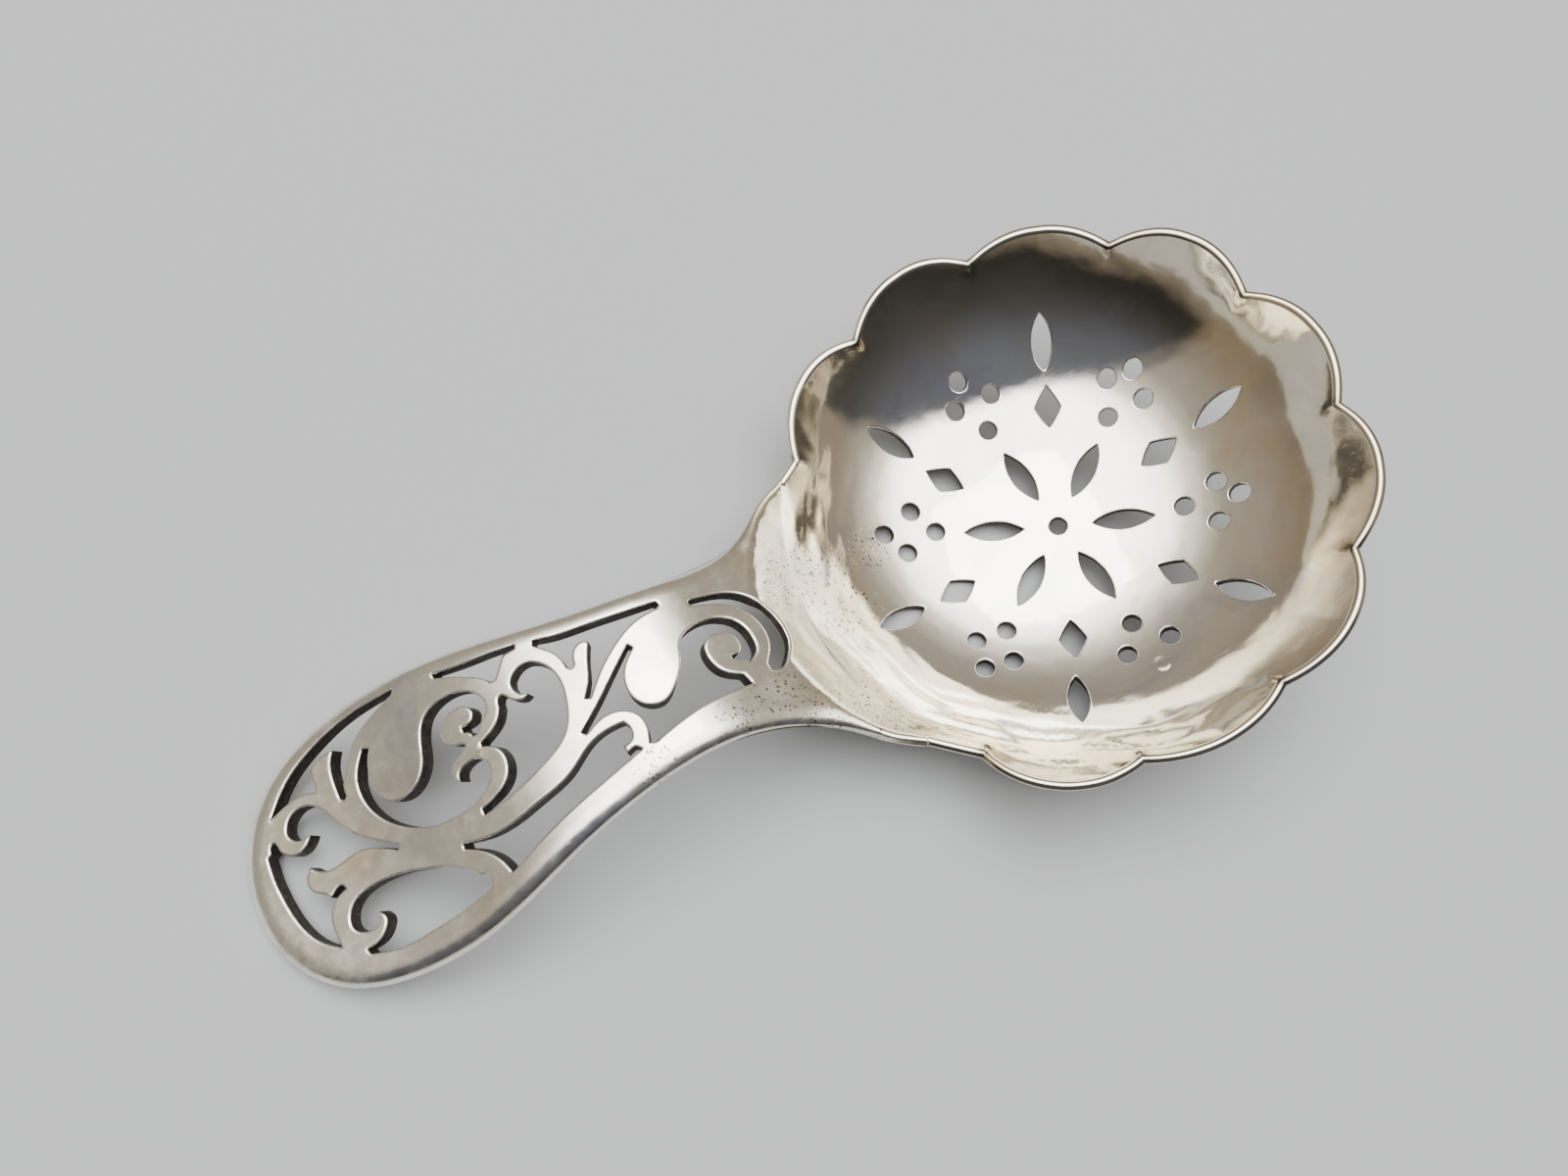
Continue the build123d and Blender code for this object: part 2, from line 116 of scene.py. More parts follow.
# openings sawn in the handle: loops of stretches, two points straight and more a curve
OPENINGS = {
    "root_crescent": [
        [(-40.35, 6.0), (-38.0, 5.95), (-36.0, 5.4), (-34.5, 3.9), (-33.65, 1.6), (-33.65, -0.8),
         (-34.5, -3.0), (-35.6, -4.0), (-36.4, -3.9)],
        [(-36.4, -3.9), (-36.4, -3.0)],
        [(-36.4, -3.0), (-35.4, -1.2), (-35.15, 0.6), (-35.7, 2.7), (-37.2, 4.4), (-40.35, 5.4)],
        [(-40.35, 5.4), (-40.35, 6.0)],
    ],
    "root_scroll": [
        [(-47.0, 3.4), (-47.3, 3.9)],
        [(-47.3, 3.9), (-49.4, 2.2), (-52.0, 0.05), (-54.9, -2.05)],
        [(-54.9, -2.05), (-54.5, -2.45)],
        [(-54.5, -2.45), (-52.6, -1.7), (-50.6, -1.9), (-49.3, -3.05), (-49.05, -4.5),
         (-49.5, -6.1)],
        [(-49.5, -6.1), (-48.95, -6.3)],
        [(-48.95, -6.3), (-46.45, -5.65), (-43.0, -4.95), (-38.6, -4.6)],
        [(-38.6, -4.6), (-38.9, -3.4)],
        [(-38.9, -3.4), (-40.3, -2.5), (-41.1, -0.6), (-40.7, 1.15), (-39.5, 1.7), (-38.2, 1.1),
         (-37.85, 0.0), (-38.3, -1.0), (-39.1, -1.05)],
        [(-39.1, -1.05), (-39.1, -1.6)],
        [(-39.1, -1.6), (-38.4, -1.8), (-37.85, -2.3)],
        [(-37.85, -2.3), (-36.9, -1.4), (-36.6, 0.2), (-37.2, 2.3), (-38.7, 3.3), (-40.9, 3.2),
         (-42.6, 2.2), (-43.4, 0.2), (-44.6, -1.6), (-46.7, -3.0), (-48.6, -2.1), (-49.2, 0.0),
         (-48.6, 1.8), (-47.0, 3.4)],
    ],
    "upper_sliver": [
        [(-55.4, 8.8), (-54.0, 8.35), (-50.0, 7.7), (-46.0, 7.2), (-43.1, 7.0)],
        [(-43.1, 7.0), (-42.95, 6.6), (-43.3, 6.3)],
        [(-43.3, 6.3), (-45.4, 5.95), (-48.3, 4.55), (-50.6, 2.8), (-52.65, 0.65)],
        [(-52.65, 0.65), (-53.2, 0.85)],
        [(-53.2, 0.85), (-52.1, 2.4), (-51.4, 4.2), (-50.55, 6.0)],
        [(-50.55, 6.0), (-51.0, 6.3), (-52.2, 5.9), (-52.75, 4.5)],
        [(-52.75, 4.5), (-53.15, 4.3), (-53.5, 4.6)],
        [(-53.5, 4.6), (-53.8, 6.1), (-54.6, 7.3), (-55.6, 8.3)],
        [(-55.6, 8.3), (-55.4, 8.8)],
    ],
    "lower_long": [
        [(-70.45, -5.5), (-67.8, -6.3), (-65.0, -6.45), (-61.5, -6.0), (-57.5, -5.05),
         (-54.5, -3.4), (-52.6, -3.0), (-50.85, -3.05)],
        [(-50.85, -3.05), (-50.55, -4.0), (-50.9, -5.0), (-51.85, -5.25)],
        [(-51.85, -5.25), (-51.8, -6.0)],
        [(-51.8, -6.0), (-50.7, -5.85), (-50.4, -6.3)],
        [(-50.4, -6.3), (-55.0, -7.4), (-60.0, -8.55), (-66.75, -10.55)],
        [(-66.75, -10.55), (-67.3, -9.0), (-68.6, -7.3), (-70.5, -6.0)],
        [(-70.5, -6.0), (-70.45, -5.5)],
    ],
    "middle_hook": [
        [(-64.5, 2.2), (-63.0, 2.7), (-61.9, 3.4), (-61.2, 4.4)],
        [(-61.2, 4.4), (-61.1, 5.0), (-60.7, 5.4), (-60.3, 5.2), (-59.9, 4.6), (-59.3, 4.1),
         (-58.7, 3.9), (-58.0, 4.1)],
        [(-58.0, 4.1), (-58.9, 4.7), (-59.2, 5.9), (-58.3, 6.85), (-57.0, 7.05), (-55.6, 6.2),
         (-54.7, 4.2), (-54.9, 1.8), (-56.3, -1.2), (-59.5, -2.9), (-63.0, -3.8), (-67.1, -4.25)],
        [(-67.1, -4.25), (-67.1, -3.6)],
        [(-67.1, -3.6), (-65.0, -3.2), (-63.3, -2.1), (-62.7, -0.3), (-63.3, 1.15),
         (-64.5, 1.85)],
        [(-64.5, 1.85), (-64.5, 2.2)],
    ],
    "forked_sliver": [
        [(-66.4, 11.3), (-63.0, 10.45), (-59.6, 9.85), (-57.2, 9.3)],
        [(-57.2, 9.3), (-57.4, 9.0)],
        [(-57.4, 9.0), (-58.7, 9.0)],
        [(-58.7, 9.0), (-59.6, 8.05), (-60.4, 7.15)],
        [(-60.4, 7.15), (-61.0, 7.15)],
        [(-61.0, 7.15), (-61.6, 7.9), (-63.2, 9.1), (-65.0, 10.2), (-66.3, 10.8)],
        [(-66.3, 10.8), (-66.4, 11.3)],
    ],
    "leaf_surround": [
        [(-76.7, 8.8), (-78.4, 6.5), (-78.6, 4.0), (-77.0, 0.7), (-74.4, -1.45), (-71.3, -2.6),
         (-68.4, -2.7), (-65.8, -1.9), (-64.6, -0.2), (-65.3, 0.95), (-66.7, 1.25),
         (-67.95, 0.65), (-68.1, 0.0)],
        [(-68.1, 0.0), (-68.6, 0.8), (-68.3, 1.75), (-67.4, 2.3), (-66.3, 2.7)],
        [(-66.3, 2.7), (-66.05, 2.95), (-66.4, 3.25)],
        [(-66.4, 3.25), (-67.4, 3.6), (-68.15, 4.9), (-67.6, 6.1), (-66.3, 6.75), (-64.8, 6.6),
         (-64.0, 5.5), (-64.5, 4.75), (-65.7, 4.65)],
        [(-65.7, 4.65), (-65.7, 4.1)],
        [(-65.7, 4.1), (-65.1, 3.8), (-64.9, 3.3)],
        [(-64.9, 3.3), (-64.3, 3.3)],
        [(-64.3, 3.3), (-63.8, 3.95), (-62.8, 4.6), (-62.45, 5.75), (-63.2, 7.25), (-65.0, 8.25),
         (-67.0, 8.5), (-69.0, 7.9), (-70.3, 6.1), (-71.0, 4.1), (-72.3, 2.55), (-74.2, 1.85),
         (-76.2, 2.5), (-77.2, 4.6), (-76.9, 7.0), (-76.1, 8.5)],
        [(-76.1, 8.5), (-76.7, 8.8)],
    ],
    "tip_sliver": [
        [(-88.8, 7.4), (-86.0, 10.0), (-82.0, 11.85), (-78.0, 12.75), (-73.0, 12.7),
         (-71.1, 12.5)],
        [(-71.1, 12.5), (-71.5, 12.1)],
        [(-71.5, 12.1), (-73.7, 11.6), (-76.0, 10.8), (-78.0, 9.5), (-79.4, 7.7), (-80.2, 6.4),
         (-80.25, 5.5)],
        [(-80.25, 5.5), (-80.6, 5.15), (-81.0, 5.5)],
        [(-81.0, 5.5), (-80.95, 8.0), (-80.6, 9.4), (-79.9, 10.5)],
        [(-79.9, 10.5), (-81.6, 10.6), (-82.8, 9.9), (-83.05, 8.7), (-83.2, 7.5)],
        [(-83.2, 7.5), (-84.6, 8.0), (-86.0, 8.05), (-88.8, 7.4)],
    ],
    "tip_hook": [
        [(-90.5, 3.9), (-90.0, 4.1)],
        [(-90.0, 4.1), (-89.8, 4.8), (-89.4, 5.05), (-89.1, 4.5), (-89.0, 3.8)],
        [(-89.0, 3.8), (-88.2, 2.95), (-87.0, 2.7), (-86.0, 3.15), (-85.4, 3.8)],
        [(-85.4, 3.8), (-86.85, 3.95), (-87.65, 5.0), (-87.1, 6.3), (-85.4, 6.9), (-83.6, 5.9),
         (-82.2, 3.4), (-80.6, 1.1), (-78.5, -0.75), (-76.85, -2.0)],
        [(-76.85, -2.0), (-77.2, -2.35)],
        [(-77.2, -2.35), (-79.2, -1.05), (-81.3, -0.3), (-84.8, -0.45), (-86.0, 0.1),
         (-86.6, 0.8)],
        [(-86.6, 0.8), (-87.45, -0.2), (-87.3, -1.5), (-86.0, -2.6), (-85.6, -3.1)],
        [(-85.6, -3.1), (-84.8, -2.6), (-84.1, -2.5), (-83.85, -3.0)],
        [(-83.85, -3.0), (-85.3, -3.5), (-86.3, -4.7), (-86.5, -6.2), (-86.4, -8.0)],
        [(-86.4, -8.0), (-88.0, -6.7), (-89.5, -4.3), (-90.35, -1.0), (-90.6, 1.8), (-90.5, 3.9)],
    ],
    "tip_scroll": [
        [(-69.3, -10.7), (-72.0, -11.05), (-77.0, -11.2), (-81.0, -10.95), (-83.8, -10.05)],
        [(-83.8, -10.05), (-84.0, -9.5)],
        [(-84.0, -9.5), (-82.6, -9.4), (-81.4, -8.6), (-80.95, -7.6), (-81.4, -6.8)],
        [(-81.4, -6.8), (-82.0, -7.85), (-83.3, -7.95), (-84.6, -6.8), (-83.9, -5.0),
         (-81.65, -4.2), (-78.0, -4.6), (-75.0, -5.65), (-72.0, -7.2), (-69.9, -9.1)],
        [(-69.9, -9.1), (-69.2, -9.5), (-69.1, -10.2), (-69.3, -10.7)],
    ],
}

# where the solder has left pits, and where the tarnish is brown: x, y, radius
PITTED = [
    (-31.5, -11.5, 3.6), (-36.8, -6.3, 1.9), (-50.0, -8.2, 2.0), (-41.5, -7.4, 1.5),
    (-29.0, 6.0, 3.6), (-27.0, 1.5, 2.6), (-20.5, 7.5, 1.8), (-64.9, 1.35, 0.5),
]
STAINED = [
    (-92.0, -6.0, 3.2), (-86.5, -11.2, 2.4), (-74.0, -10.6, 2.0), (-80.0, 12.8, 2.0),
    (-52.3, 6.8, 1.2), (-69.5, -3.9, 1.2), (-36.5, -5.6, 1.6), (*BLIND, 0.95),
]

# ---- fineness ------------------------------------------------------------------------------
EDGE_STEP = 0.24          # spacing of points along an outline
FIELD_STEP = 0.62         # spacing of points in the open metal
RIM_ROUND = (0.42, 0.36)  # width and height of the rounding at the dish's rim
HOLE_ROUND = (0.13, 0.13)
BORDER_ROUND = (2.1, 1.15)
SAW_ROUND = (0.30, 0.16)
UNDER_ROUND = (0.9, 0.6)
UNDER_SAW_ROUND = (0.12, 0.12)
RINGS = (0.12, 0.3)       # rows of points this far in from every edge
RING_SHARES = (0.08, 0.3, 0.6, 1.0)  # and at these shares of each rounding's width
EDGE_CLEAR = 0.45         # the open metal's points keep this far from edges,
EXTRA_CLEAR = 0.3         # this far from the points given
TOO_CLOSE = 0.035         # and this far from each other,
NEIGHBOURS = 12           # looking among this many in order of x
ROW_SHARE = 0.93          # a row's point is dropped if it is nearer an edge than this share
FAR = 9.0                 # distances beyond this don't matter
LATTICE_SEED = 7
SHAKE = 0.06              # how far each lattice point is shaken, as a share of the step

# ---- hand work on the surface, visible but too shallow to matter to the CAD -----------------
FLUTE = 0.42              # how far a petal's edges stand above its middle
FLUTE_FROM = 25.0         # the petals start at this radius
CREASE = 0.16             # height of the crease below each notch
CREASE_FROM = 28.3
DIMPLE_SHARE = 0.25       # how much of the blind hole's depth is left after polishing
HAMMER_FROM = 22.0        # hammer marks start at this radius
HAMMER_TURN = 0.30        # and are strongest this far round from the handle, in radians


# ---- surfaces ------------------------------------------------------------------------------
def ripple(x, y):
    """Marks of the raising hammer: faint on the floor, long creeping wrinkles by the handle."""
    r = np.hypot(x, y)
    a = np.arctan2(y, x)
    behind = np.clip(-np.cos(a - HAMMER_TURN), 0.0, 1.0) ** 1.2
    wall = np.clip((r - HAMMER_FROM) / 6.0, 0.0, 1.0)
    floor = (
        np.sin(0.51 * x + 1.3 * np.sin(0.23 * y + 1.0))
        + np.sin(0.63 * y + 1.1 * np.sin(0.31 * x + 2.0))
    )
    swell = np.sin(0.95 * r + 1.4 * np.sin(2.0 * a + 0.7) + 0.8 * np.sin(5.0 * a + 1.0))
    creep = (
        np.sin(2.1 * r + 2.6 * np.sin(3.0 * a + 2.1) + 1.5 * np.sin(8.0 * a))
        + 0.4 * np.sin(4.1 * r + 2.7 * np.sin(5.0 * a + 0.4) + 1.9 * np.sin(13.0 * a + 2.0))
    )
    swell_height = 0.014 * (1.0 + 3.0 * behind)
    creep_height = 0.003 + 0.045 * behind
    return 0.0035 * floor + wall * (swell_height * swell + creep_height * creep)


def plain_wall(x, y):
    r = np.hypot(x, y)
    return DISH_SQUARE * r**2 + DISH_FOURTH * r**4


def plain_handle(x, y):
    return roll_over(plain_wall(x, y), x)


def lower_of(a, b, blend):
    """The lower of two surfaces, with a soft edge between them."""
    low = np.minimum(a, b)
    return low - blend * np.log(np.exp((low - a) / blend) + np.exp((low - b) / blend))


def roll_over(wall, x):
    """The wall ends in a crest, behind which the root climbs to a long shallow arch."""
    behind = CREST_X - x
    climb = (ROOT_SLOPE - COLLAR_SLOPE) * np.logaddexp(0.0, behind / ROOT_BEND) * ROOT_BEND
    root = CREST_Z + COLLAR_SLOPE * behind + climb
    arch = ARCH_BASE + ARCH_RISE * np.exp(-(((x - ARCH_X) / ARCH_SPREAD) ** 2))
    arch = arch - ARCH_DIP / (1.0 + np.exp((DIP_X - x) / DIP_SPREAD))
    return lower_of(wall, lower_of(root, arch, ARCH_BLEND), CREST_BLEND)


def petals(x, y):
    """Each lobe is dished like a petal, with a short crease chased in below its notches."""
    r = np.hypot(x, y)
    angle = np.degrees(np.arctan2(y, x))
    place = (angle - LOBES_TURN) / LOBE_PITCH + LOBES / 2
    nearest = np.clip(np.round(place), 0, LOBES)
    off = np.abs(place - nearest)
    aside = np.radians(off * LOBE_PITCH) * r
    rise = np.clip((r - FLUTE_FROM) / 6.0, 0.0, 1.15) ** 2
    flute = FLUTE * rise * (1.0 - 2.0 * np.sqrt(np.minimum(off, 0.5) ** 2 + 0.002))
    cut = np.clip((r - CREASE_FROM) / 1.4, 0.0, 1.0) ** 2
    crease = CREASE * cut * np.exp(-np.sqrt(aside**2 + 0.006) / 0.3)
    return flute * np.exp(-(np.maximum(off - 0.5, 0.0) ** 2) / 0.02) + crease


def wall_height(x, y):
    """The raised dish with its petals and hammer marks."""
    return plain_wall(x, y) + petals(x, y) + ripple(x, y)


def dish_height(x, y):
    away = np.hypot(x - BLIND[0], y - BLIND[1])
    side = np.clip((ROUND_HOLE_R - away) / 0.6, 0.0, 1.0)
    dimple = DIMPLE_SHARE * BLIND_DEPTH * side * side * (3.0 - 2.0 * side)
    return wall_height(x, y) - dimple


def handle_height(x, y):
    wave = 0.010 * (np.sin(0.35 * x + 0.8 * np.sin(0.4 * y)) + np.sin(0.42 * y + 0.21 * x))
    return roll_over(wall_height(x, y), x) + wave


def slopes(height, x, y):
    h = 0.02
    gx = (height(x + h, y) - height(x - h, y)) / (2 * h)
    gy = (height(x, y + h) - height(x, y - h)) / (2 * h)
    return gx, gy


# ---- outlines ------------------------------------------------------------------------------
def on_circle(radius, angle):
    return np.array((radius * cos(radians(angle)), radius * sin(radians(angle))))


def smooth(points, step=EDGE_STEP):
    """Points evenly along the natural cubic spline through the given points."""
    p = np.array(points, dtype=float)
    if len(p) == 2:
        n = max(1, int(round(np.linalg.norm(p[1] - p[0]) / step)))
        return p[0] + (p[1] - p[0]) * np.linspace(0, 1, n + 1)[:, None]
    t = np.concatenate(([0.0], np.cumsum(np.linalg.norm(np.diff(p, axis=0), axis=1))))
    h = np.diff(t)
    n = len(p)
    a = np.eye(n)
    b = np.zeros((n, 2))
    for i in range(1, n - 1):
        a[i, i - 1] = h[i - 1]
        a[i, i] = 2 * (h[i - 1] + h[i])
        a[i, i + 1] = h[i]
        b[i] = 6 * ((p[i + 1] - p[i]) / h[i] - (p[i] - p[i - 1]) / h[i - 1])
    m = np.linalg.solve(a, b)
    fine = np.linspace(0, t[-1], max(8, int(t[-1] / (step / 6))))
    k = np.clip(np.searchsorted(t, fine, side="right") - 1, 0, n - 2)
    u = (fine - t[k])[:, None]
    v = (t[k + 1] - fine)[:, None]
    hk = h[k][:, None]
    curve = (
        m[k] * v**3 / (6 * hk) + m[k + 1] * u**3 / (6 * hk)
        + (p[k] / hk - m[k] * hk / 6) * v + (p[k + 1] / hk - m[k + 1] * hk / 6) * u
    )
    return evenly(curve, step)


def evenly(curve, step=EDGE_STEP):
    """The same curve in equal steps."""
    d = np.concatenate(([0.0], np.cumsum(np.linalg.norm(np.diff(curve, axis=0), axis=1))))
    n = max(2, int(round(d[-1] / step)))
    s = np.linspace(0, d[-1], n + 1)
    return np.stack([np.interp(s, d, curve[:, 0]), np.interp(s, d, curve[:, 1])], axis=1)


def arc_through(a, b, c, step=EDGE_STEP):
    """Points along the circle through a, b and c, from a to c."""
    a, b, c = (np.asarray(q, dtype=float) for q in (a, b, c))
    d = 2 * (a[0] * (b[1] - c[1]) + b[0] * (c[1] - a[1]) + c[0] * (a[1] - b[1]))
    sa, sb, sc = (q @ q for q in (a, b, c))
    centre = np.array((
        (sa * (b[1] - c[1]) + sb * (c[1] - a[1]) + sc * (a[1] - b[1])) / d,
        (sa * (c[0] - b[0]) + sb * (a[0] - c[0]) + sc * (b[0] - a[0])) / d,
    ))
    radius = np.linalg.norm(a - centre)
    t0, t1, t2 = (atan2(*(q - centre)[::-1]) for q in (a, b, c))
    t1 = (t1 - t0) % (2 * pi)
    t2 = (t2 - t0) % (2 * pi)
    if t1 > t2:
        t2 -= 2 * pi
    n = max(2, int(round(abs(t2) * radius / step)))
    t = t0 + np.linspace(0, t2, n + 1)
    return centre + radius * np.stack([np.cos(t), np.sin(t)], axis=1)


def closed(stretches):
    """One loop from stretches that meet end to end."""
    return np.concatenate([s[:-1] for s in stretches])


def round_hole(centre, radius):
    n = max(24, int(2 * pi * radius / EDGE_STEP))
    t = np.linspace(0, 2 * pi, n, endpoint=False)
    return np.asarray(centre) + radius * np.stack([np.cos(t), np.sin(t)], axis=1)


def pointed_slot(start, end, width, angle):
    middle = on_circle((start + end) / 2, angle)
    across = on_circle(width / 2, angle + 90)
    a, b = on_circle(start, angle), on_circle(end, angle)
    return closed([arc_through(a, middle + across, b), arc_through(b, middle - across, a)])


def diamond(radius, angle):
    """Four gently bowed sides."""
    middle = on_circle(radius, angle)
    out = on_circle(DIAMOND_LONG / 2, angle)
    across = on_circle(DIAMOND_WIDE / 2, angle + 90)
    corners = [middle - out, middle + across, middle + out, middle - across]
    sides = []
    for a, b in zip(corners, corners[1:] + corners[:1]):
        bow = (a + b) / 2 + ((a + b) / 2 - middle) * DIAMOND_BOW
        sides.append(arc_through(a, bow, b))
    return closed(sides)


def notch_angle(i):
    return LOBES_TURN + (i - LOBES / 2) * LOBE_PITCH


def rim_outline():
    """The scalloped rim; the second list says which points lie on the joint."""
    stretches = []
    for i, crown in enumerate(LOBE_CROWNS):
        a, b = on_circle(NOTCH_R, notch_angle(i)), on_circle(NOTCH_R, notch_angle(i + 1))
        stretches.append(arc_through(a, on_circle(crown, notch_angle(i + 0.5)), b))
    joint_x = -sqrt(JOINT_R**2 - JOINT_Y**2)
    high, low = np.array((joint_x, JOINT_Y)), np.array((joint_x, -JOINT_Y))
    stretches.append(smooth([on_circle(NOTCH_R, notch_angle(LOBES)), high]))
    free = sum(len(s) - 1 for s in stretches)
    stretches.append(arc_through(high, (-JOINT_R, 0.0), low))
    joint = len(stretches[-1]) - 1
    stretches.append(smooth([low, on_circle(NOTCH_R, notch_angle(0))]))
    loop = closed(stretches)
    on_joint = np.zeros(len(loop), dtype=bool)
    on_joint[free:free + joint] = True
    return loop, on_joint


def handle_outline():
    """The handle's border and which of its points lie on the joint."""
    mirrored = [(x, -y) for x, y in reversed(HALF_OUTLINE[:-1])]
    border = smooth(HALF_OUTLINE + mirrored)
    root = arc_through(mirrored[-1], (-JOINT_R, 0.0), HALF_OUTLINE[0])
    loop = closed([border, root])
    on_joint = np.zeros(len(loop), dtype=bool)
    on_joint[len(border) - 1:] = True
    return loop, on_joint


# ---- plate maker ---------------------------------------------------------------------------
def inside(points, loop):
    """Which points lie inside the closed loop."""
    hit = np.zeros(len(points), dtype=bool)
    ax, ay = loop[:, 0], loop[:, 1]
    bx, by = np.roll(ax, -1), np.roll(ay, -1)
    for x0, y0, x1, y1 in zip(ax, ay, bx, by):
        if y0 == y1:
            continue
        cross = (y0 > points[:, 1]) != (y1 > points[:, 1])
        at = (x1 - x0) * (points[:, 1] - y0) / (y1 - y0) + x0
        hit ^= cross & (points[:, 0] < at)
    return hit


def nearest_on(points, starts, ends):
    """Distance from each point to the nearest segment, and the unit direction away from it."""
    batch = 1500          # keeps the table of distances small
    best = np.full(len(points), 1e9)
    foot = np.zeros((len(points), 2))
    along = ends - starts
    size = np.maximum((along**2).sum(axis=1), 1e-12)
    for first in range(0, len(points), batch):
        p = points[first:first + batch]
        rel = p[:, None, :] - starts[None]
        u = np.clip((rel * along[None]).sum(axis=2) / size[None], 0, 1)
        away = rel - u[..., None] * along[None]
        d2 = (away**2).sum(axis=2)
        k = d2.argmin(axis=1)
        rows = np.arange(len(p))
        best[first:first + batch] = np.sqrt(d2[rows, k])
        foot[first:first + batch] = away[rows, k]
    unit = foot / np.maximum(best, 1e-9)[:, None]
    return best, unit


def inward(loop, metal_inside):
    """Unit normals at a loop's points, towards the metal."""
    before = loop - np.roll(loop, 1, axis=0)
    after = np.roll(loop, -1, axis=0) - loop
    before /= np.linalg.norm(before, axis=1)[:, None]
    after /= np.linalg.norm(after, axis=1)[:, None]
    mean = before + after
    mean /= np.maximum(np.linalg.norm(mean, axis=1), 1e-6)[:, None]
    normal = np.stack([-mean[:, 1], mean[:, 0]], axis=1)
    area = (loop[:, 0] * np.roll(loop[:, 1], -1) - np.roll(loop[:, 0], -1) * loop[:, 1]).sum()
    if (area > 0) != metal_inside:
        normal = -normal
    return normal


def field(low, high, step, seed):
    """A slightly shaken triangular lattice."""
    rng = np.random.default_rng(seed)
    xs = np.arange(low[0], high[0], step)
    ys = np.arange(low[1], high[1], step * sqrt(3) / 2)
    x, y = np.meshgrid(xs, ys)
    x[1::2] += step / 2
    points = np.stack([x.ravel(), y.ravel()], axis=1)
    return points + rng.uniform(-SHAKE, SHAKE, points.shape) * step


def fall(distance, size):
    """How far a rounded edge drops at this distance from it, and how level it still is."""
    width, height = size
    u = np.clip((width - distance) / width, 0.0, 1.0)
    level = np.sqrt(np.maximum(1.0 - u**2, 0.0))
    return height * (1.0 - level), u, level * width / height


def thinned(size, x):
    """The rounding of the handle's border, thinned out to the rim's beside the joint."""
    share = np.clip((-27.0 - x) / 9.0, 0.0, 1.0)
    share = share * share * (3.0 - 2.0 * share)
    return [thin + (full - thin) * share for thin, full in zip(RIM_ROUND, size)]


def to_row(points, shift):
    """From the dish's frame in millimetres to the row's in metres."""
    c, s = cos(radians(REST_TILT)), sin(radians(REST_TILT))
    x = points[:, 0] * c - points[:, 2] * s
    z = points[:, 0] * s + points[:, 2] * c
    return (np.stack([x, points[:, 1], z], axis=1) + shift) * 0.001


def upward(gx, gy):
    """Unit normals of a surface with these slopes."""
    up = np.stack([-gx, -gy, np.ones(len(gx))], axis=1)
    return up / np.linalg.norm(up, axis=1)[:, None]


def within(points, loops):
    """Which points lie in the metal: inside the first loop and outside the others."""
    kept = inside(points, loops[0])
    for loop in loops[1:]:
        kept &= ~inside(points, loop)
    return kept


def rows_beside(loops, normals, rounds, starts, ends):
    """Rows of points beside every edge, closer together where it is rounded."""
    rows = []
    for k, loop in enumerate(loops):
        sizes = (rounds[0], rounds[2]) if k == 0 else (rounds[1], rounds[3])
        for d in sorted({*RINGS, *(width * q for width, _ in sizes for q in RING_SHARES)}):
            ring = loop + normals[k] * d
            near, _ = nearest_on(ring, starts, ends)
            rows.append(ring[near > d * ROW_SHARE])
    return rows


def fill_in(loops, rows, extra, starts, ends):
    """All the points in the metal: rows beside the edges, given points, and a lattice."""
    grid = field(loops[0].min(axis=0), loops[0].max(axis=0), FIELD_STEP, LATTICE_SEED)
    near, _ = nearest_on(grid, starts, ends)
    grid = grid[near > EDGE_CLEAR]
    if len(extra):
        extra = np.asarray(extra)
        crowd, _ = nearest_on(grid, extra, extra)
        grid = grid[crowd > EXTRA_CLEAR]
        rows = rows + [extra]
    fill = np.concatenate(rows + [grid])
    fill = fill[within(fill, loops)]
    fill = fill[np.lexsort((fill[:, 1], fill[:, 0]))]
    crowded = np.zeros(len(fill), dtype=bool)
    for i in range(1, NEIGHBOURS):
        crowded[i:] |= np.linalg.norm(fill[i:] - fill[:-i], axis=1) < TOO_CLOSE
    return fill[~crowded]


def triangulate(loops, fill):
    """Triangles over the metal, and each loop's points among their corners."""
    edges, loop_ids, start = [], [], 0
    for loop in loops:
        n = len(loop)
        loop_ids.append(range(start, start + n))
        edges += [(start + i, start + (i + 1) % n) for i in range(n)]
        start += n
    flat = np.concatenate(loops + [fill])
    result = delaunay_2d_cdt([Vector(p) for p in flat], edges, [], 0, 1e-5)
    verts = np.array([tuple(v) for v in result[0]])
    tris = np.array([f for f in result[2] if len(f) == 3])
    tris = tris[within(verts[tris].mean(axis=1), loops)]
    a, b, c = (verts[tris[:, i]] for i in range(3))
    clockwise = np.cross(b - a, c - a) < 0
    tris[clockwise] = tris[clockwise][:, ::-1]
    new_id = {old: new for new, olds in enumerate(result[3]) for old in olds}
    return verts, tris, [np.array([new_id[i] for i in ids]) for ids in loop_ids]


def face(side, outer_size, saw_size, outer, saw, slope, up):
    """How far one face falls at its rounded edges, and its normals there."""
    f_out, u_out, l_out = fall(outer[0], outer_size)
    f_in, u_in, l_in = fall(saw[0], saw_size)
    by_outer = f_out >= f_in
    drop = np.where(by_outer, f_out, f_in)
    u = np.where(by_outer, u_out, u_in)
    level = np.where(by_outer, l_out, l_in)
    g = np.where(by_outer[:, None], outer[1], saw[1])
    tangent = np.column_stack([g, (slope * g).sum(axis=1)])
    tangent /= np.maximum(np.linalg.norm(tangent, axis=1), 1e-9)[:, None]
    normal = -tangent * u[:, None] + side * up * level[:, None]
    normal /= np.maximum(np.linalg.norm(normal, axis=1), 1e-9)[:, None]
    return drop, normal


